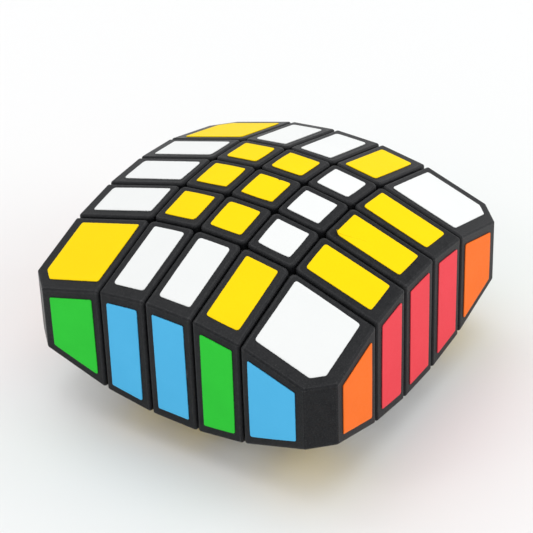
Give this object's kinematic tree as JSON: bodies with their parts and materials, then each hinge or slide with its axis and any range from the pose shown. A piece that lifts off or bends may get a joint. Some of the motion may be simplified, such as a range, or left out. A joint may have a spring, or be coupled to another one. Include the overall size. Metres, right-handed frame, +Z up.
{
  "type": "pillow twisty puzzle",
  "caption": "Pillow-shaped twisty puzzle, one cubie thick, with flat facets in coloured stickers; its columns and rows turn about a hidden core.",
  "frame": {"origin": "centre of the core, where all the turning axes meet, which is the centre of the bounding box", "axes": "+Z up through the thickness, +X towards the right-hand side face, -Y towards the front side face; columns turn about X and rows about Y"},
  "size_m": [0.0764, 0.0764, 0.0468],
  "materials": {
    "black_plastic": "fine satin grain, moulded",
    "core_plastic": "moulded, natural grey",
    "steel": "zinc plated, bright",
    "sticker_yellow": "satin vinyl film",
    "sticker_white": "satin vinyl film",
    "sticker_green": "satin vinyl film",
    "sticker_blue": "satin vinyl film",
    "sticker_red": "satin vinyl film",
    "sticker_orange": "satin vinyl film"
  },
  "bodies": {
    "root": {"core_spider": "core_plastic", "middle_top": "black_plastic", "middle_bottom": "black_plastic", "stickers_middle_middle": "sticker_yellow", "axle_screws": "steel", "spring_washers": "steel", "springs": "steel"},
    "cubie_front_left": {"cubie_front_left": "black_plastic", "stickers_front_left": "sticker_yellow"},
    "cubie_front_inner_left": {"cubie_front_inner_left": "black_plastic", "stickers_front_inner_left": "sticker_white"},
    "row_front": {"cubie_front_middle": "black_plastic", "stickers_front_middle": "sticker_white", "axle_cap_front": "black_plastic"},
    "cubie_front_inner_right": {"cubie_front_inner_right": "black_plastic", "stickers_front_inner_right": "sticker_yellow"},
    "cubie_front_right": {"cubie_front_right": "black_plastic", "stickers_front_right": "sticker_white"},
    "cubie_inner_front_left": {"cubie_inner_front_left": "black_plastic", "stickers_inner_front_left": "sticker_white"},
    "cubie_inner_front_inner_left": {"cubie_inner_front_inner_left": "black_plastic", "stickers_inner_front_inner_left": "sticker_yellow"},
    "row_inner_front": {"cubie_inner_front_middle": "black_plastic", "stickers_inner_front_middle": "sticker_yellow"},
    "cubie_inner_front_inner_right": {"cubie_inner_front_inner_right": "black_plastic", "stickers_inner_front_inner_right": "sticker_white"},
    "cubie_inner_front_right": {"cubie_inner_front_right": "black_plastic", "stickers_inner_front_right": "sticker_yellow"},
    "column_left": {"cubie_middle_left": "black_plastic", "stickers_middle_left": "sticker_white", "axle_cap_left": "black_plastic"},
    "column_inner_left": {"cubie_middle_inner_left": "black_plastic", "stickers_middle_inner_left": "sticker_yellow"},
    "column_inner_right": {"cubie_middle_inner_right": "black_plastic", "stickers_middle_inner_right": "sticker_white"},
    "column_right": {"cubie_middle_right": "black_plastic", "stickers_middle_right": "sticker_yellow", "axle_cap_right": "black_plastic"},
    "cubie_inner_back_left": {"cubie_inner_back_left": "black_plastic", "stickers_inner_back_left": "sticker_white"},
    "cubie_inner_back_inner_left": {"cubie_inner_back_inner_left": "black_plastic", "stickers_inner_back_inner_left": "sticker_yellow"},
    "row_inner_back": {"cubie_inner_back_middle": "black_plastic", "stickers_inner_back_middle": "sticker_yellow"},
    "cubie_inner_back_inner_right": {"cubie_inner_back_inner_right": "black_plastic", "stickers_inner_back_inner_right": "sticker_white"},
    "cubie_inner_back_right": {"cubie_inner_back_right": "black_plastic", "stickers_inner_back_right": "sticker_yellow"},
    "cubie_back_left": {"cubie_back_left": "black_plastic", "stickers_back_left": "sticker_yellow"},
    "cubie_back_inner_left": {"cubie_back_inner_left": "black_plastic", "stickers_back_inner_left": "sticker_white"},
    "row_back": {"cubie_back_middle": "black_plastic", "stickers_back_middle": "sticker_white", "axle_cap_back": "black_plastic"},
    "cubie_back_inner_right": {"cubie_back_inner_right": "black_plastic", "stickers_back_inner_right": "sticker_yellow"},
    "cubie_back_right": {"cubie_back_right": "black_plastic", "stickers_back_right": "sticker_white"}
  },
  "joints": [
    {"name": "column_left_turn", "type": "hinge", "parent": "root", "child": "column_left", "pos_m": [0, 0, 0], "axis": [1, 0, 0], "continuous": true},
    {"name": "column_inner_left_turn", "type": "hinge", "parent": "root", "child": "column_inner_left", "pos_m": [0, 0, 0], "axis": [1, 0, 0], "continuous": true},
    {"name": "column_inner_right_turn", "type": "hinge", "parent": "root", "child": "column_inner_right", "pos_m": [0, 0, 0], "axis": [1, 0, 0], "continuous": true},
    {"name": "column_right_turn", "type": "hinge", "parent": "root", "child": "column_right", "pos_m": [0, 0, 0], "axis": [1, 0, 0], "continuous": true},
    {"name": "row_front_turn", "type": "hinge", "parent": "root", "child": "row_front", "pos_m": [0, 0, 0], "axis": [0, 1, 0], "range_deg": [-180, 180]},
    {"name": "row_inner_front_turn", "type": "hinge", "parent": "root", "child": "row_inner_front", "pos_m": [0, 0, 0], "axis": [0, 1, 0], "range_deg": [-180, 180]},
    {"name": "row_inner_back_turn", "type": "hinge", "parent": "root", "child": "row_inner_back", "pos_m": [0, 0, 0], "axis": [0, 1, 0], "range_deg": [-180, 180]},
    {"name": "row_back_turn", "type": "hinge", "parent": "root", "child": "row_back", "pos_m": [0, 0, 0], "axis": [0, 1, 0], "range_deg": [-180, 180]},
    {"name": "row_front_turn_left", "type": "hinge", "parent": "column_left", "child": "cubie_front_left", "pos_m": [0, 0, 0], "axis": [0, 1, 0], "range_deg": [-180, 180]},
    {"name": "row_front_turn_inner_left", "type": "hinge", "parent": "column_inner_left", "child": "cubie_front_inner_left", "pos_m": [0, 0, 0], "axis": [0, 1, 0], "range_deg": [-180, 180]},
    {"name": "row_front_turn_inner_right", "type": "hinge", "parent": "column_inner_right", "child": "cubie_front_inner_right", "pos_m": [0, 0, 0], "axis": [0, 1, 0], "range_deg": [-180, 180]},
    {"name": "row_front_turn_right", "type": "hinge", "parent": "column_right", "child": "cubie_front_right", "pos_m": [0, 0, 0], "axis": [0, 1, 0], "range_deg": [-180, 180]},
    {"name": "row_inner_front_turn_left", "type": "hinge", "parent": "column_left", "child": "cubie_inner_front_left", "pos_m": [0, 0, 0], "axis": [0, 1, 0], "range_deg": [-180, 180]},
    {"name": "row_inner_front_turn_inner_left", "type": "hinge", "parent": "column_inner_left", "child": "cubie_inner_front_inner_left", "pos_m": [0, 0, 0], "axis": [0, 1, 0], "range_deg": [-180, 180]},
    {"name": "row_inner_front_turn_inner_right", "type": "hinge", "parent": "column_inner_right", "child": "cubie_inner_front_inner_right", "pos_m": [0, 0, 0], "axis": [0, 1, 0], "range_deg": [-180, 180]},
    {"name": "row_inner_front_turn_right", "type": "hinge", "parent": "column_right", "child": "cubie_inner_front_right", "pos_m": [0, 0, 0], "axis": [0, 1, 0], "range_deg": [-180, 180]},
    {"name": "row_inner_back_turn_left", "type": "hinge", "parent": "column_left", "child": "cubie_inner_back_left", "pos_m": [0, 0, 0], "axis": [0, 1, 0], "range_deg": [-180, 180]},
    {"name": "row_inner_back_turn_inner_left", "type": "hinge", "parent": "column_inner_left", "child": "cubie_inner_back_inner_left", "pos_m": [0, 0, 0], "axis": [0, 1, 0], "range_deg": [-180, 180]},
    {"name": "row_inner_back_turn_inner_right", "type": "hinge", "parent": "column_inner_right", "child": "cubie_inner_back_inner_right", "pos_m": [0, 0, 0], "axis": [0, 1, 0], "range_deg": [-180, 180]},
    {"name": "row_inner_back_turn_right", "type": "hinge", "parent": "column_right", "child": "cubie_inner_back_right", "pos_m": [0, 0, 0], "axis": [0, 1, 0], "range_deg": [-180, 180]},
    {"name": "row_back_turn_left", "type": "hinge", "parent": "column_left", "child": "cubie_back_left", "pos_m": [0, 0, 0], "axis": [0, 1, 0], "range_deg": [-180, 180]},
    {"name": "row_back_turn_inner_left", "type": "hinge", "parent": "column_inner_left", "child": "cubie_back_inner_left", "pos_m": [0, 0, 0], "axis": [0, 1, 0], "range_deg": [-180, 180]},
    {"name": "row_back_turn_inner_right", "type": "hinge", "parent": "column_inner_right", "child": "cubie_back_inner_right", "pos_m": [0, 0, 0], "axis": [0, 1, 0], "range_deg": [-180, 180]},
    {"name": "row_back_turn_right", "type": "hinge", "parent": "column_right", "child": "cubie_back_right", "pos_m": [0, 0, 0], "axis": [0, 1, 0], "range_deg": [-180, 180]}
  ],
  "couplings": [
    {"joint": "row_front_turn_left", "follows": "row_front_turn", "ratio": 1},
    {"joint": "row_front_turn_inner_left", "follows": "row_front_turn", "ratio": 1},
    {"joint": "row_front_turn_inner_right", "follows": "row_front_turn", "ratio": 1},
    {"joint": "row_front_turn_right", "follows": "row_front_turn", "ratio": 1},
    {"joint": "row_inner_front_turn_left", "follows": "row_inner_front_turn", "ratio": 1},
    {"joint": "row_inner_front_turn_inner_left", "follows": "row_inner_front_turn", "ratio": 1},
    {"joint": "row_inner_front_turn_inner_right", "follows": "row_inner_front_turn", "ratio": 1},
    {"joint": "row_inner_front_turn_right", "follows": "row_inner_front_turn", "ratio": 1},
    {"joint": "row_inner_back_turn_left", "follows": "row_inner_back_turn", "ratio": 1},
    {"joint": "row_inner_back_turn_inner_left", "follows": "row_inner_back_turn", "ratio": 1},
    {"joint": "row_inner_back_turn_inner_right", "follows": "row_inner_back_turn", "ratio": 1},
    {"joint": "row_inner_back_turn_right", "follows": "row_inner_back_turn", "ratio": 1},
    {"joint": "row_back_turn_left", "follows": "row_back_turn", "ratio": 1},
    {"joint": "row_back_turn_inner_left", "follows": "row_back_turn", "ratio": 1},
    {"joint": "row_back_turn_inner_right", "follows": "row_back_turn", "ratio": 1},
    {"joint": "row_back_turn_right", "follows": "row_back_turn", "ratio": 1}
  ]
}
